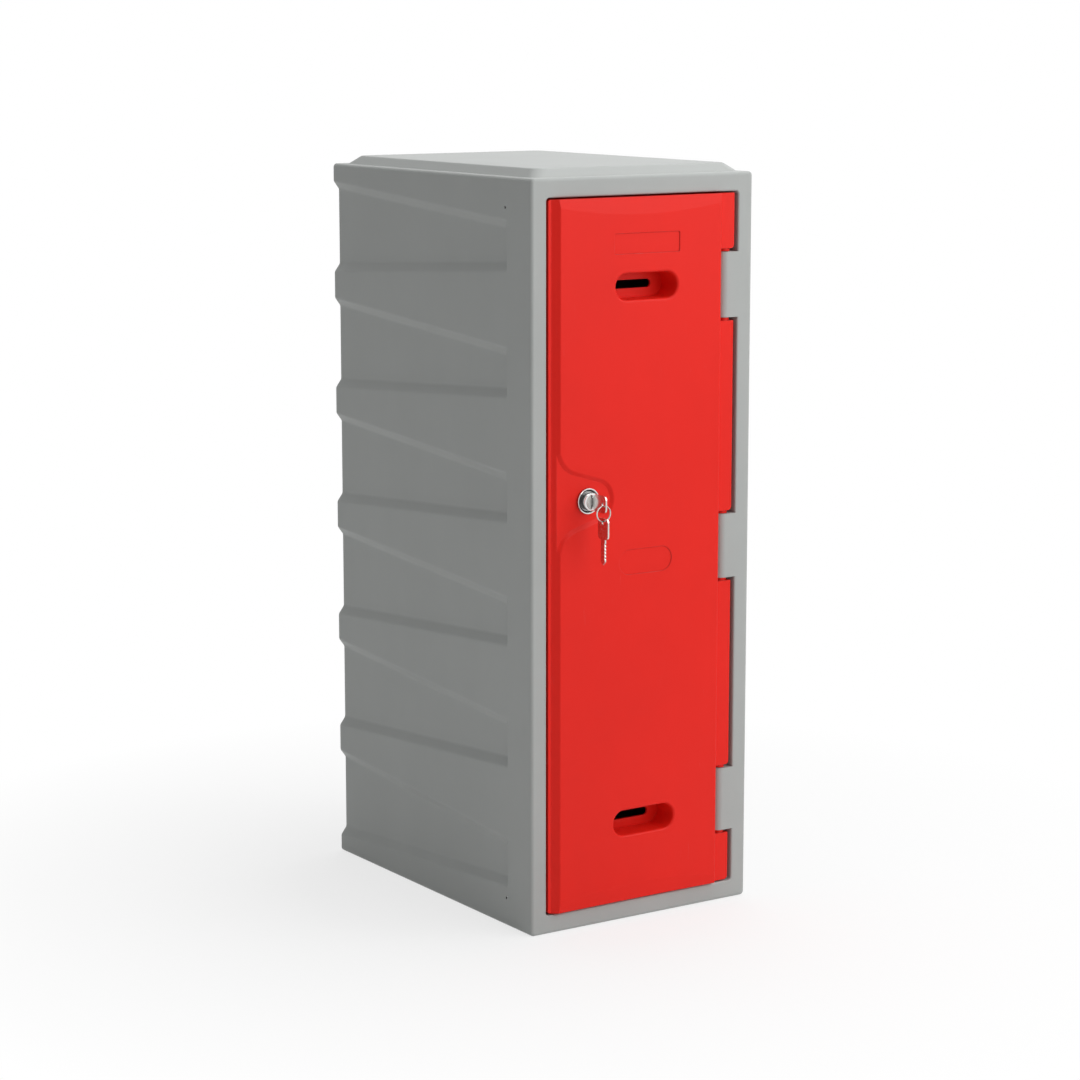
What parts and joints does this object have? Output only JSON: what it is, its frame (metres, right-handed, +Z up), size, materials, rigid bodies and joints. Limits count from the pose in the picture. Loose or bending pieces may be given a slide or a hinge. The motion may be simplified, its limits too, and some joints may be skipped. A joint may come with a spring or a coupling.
{
  "type": "plastic locker",
  "caption": "Tall moulded plastic locker with fluted sides, a stacking top, and a hinged twin-wall door with finger pulls and a keyed cam lock set in a scoop.",
  "frame": {"origin": "middle of the base, on the plane that stands on the floor", "axes": "+X to the right seen from the front, +Y to the back, +Z up; the door faces -Y"},
  "size_m": [0.316, 0.4944, 0.9],
  "materials": {
    "grey_plastic": "fine moulded texture, satin",
    "red_plastic": "fine moulded texture, satin",
    "steel": "zinc plated",
    "chrome": "polished",
    "key_metal": "nickel plated"
  },
  "bodies": {
    "body": {"carcass": "grey_plastic", "back_panel": "grey_plastic", "back_panel_screws": "steel", "hinge_pin_top": "steel", "hinge_pin_middle": "steel", "hinge_pin_bottom": "steel"},
    "door": {"door_front": "red_plastic", "door_liner": "red_plastic", "door_liner_screws": "steel", "lock_escutcheon": "chrome", "lock_housing": "chrome", "lock_tooth_washer": "steel", "lock_nut": "steel"},
    "plug": {"lock_plug": "chrome", "lock_stop_washer": "steel", "lock_cam": "steel", "lock_cam_screw": "steel"},
    "lock_key": {"key": "key_metal"},
    "ring": {"key_ring": "key_metal"},
    "hanging_key": {"spare_key": "key_metal"}
  },
  "joints": [
    {"name": "door_hinge", "type": "hinge", "parent": "body", "child": "door", "pos_m": [0.1225, -0.2145, 0.442], "axis": [0, 0, 1], "range_deg": [0, 100]},
    {"name": "lock_turn", "type": "hinge", "parent": "door", "child": "plug", "pos_m": [-0.082, -0.227, 0.5155], "axis": [0, 1, 0], "range_deg": [0, 90]},
    {"name": "key_slide", "type": "slide", "parent": "plug", "child": "lock_key", "axis": [0, -1, 0], "range_m": [0, 0.03]},
    {"name": "ring_swing", "type": "hinge", "parent": "lock_key", "child": "ring", "pos_m": [-0.082, -0.2604, 0.5155], "axis": [-1, 0, 0], "range_deg": [-3, 75]},
    {"name": "spare_swing", "type": "hinge", "parent": "ring", "child": "hanging_key", "pos_m": [-0.082, -0.2604, 0.4942], "axis": [-1, 0, 0], "range_deg": [-3, 60]}
  ]
}
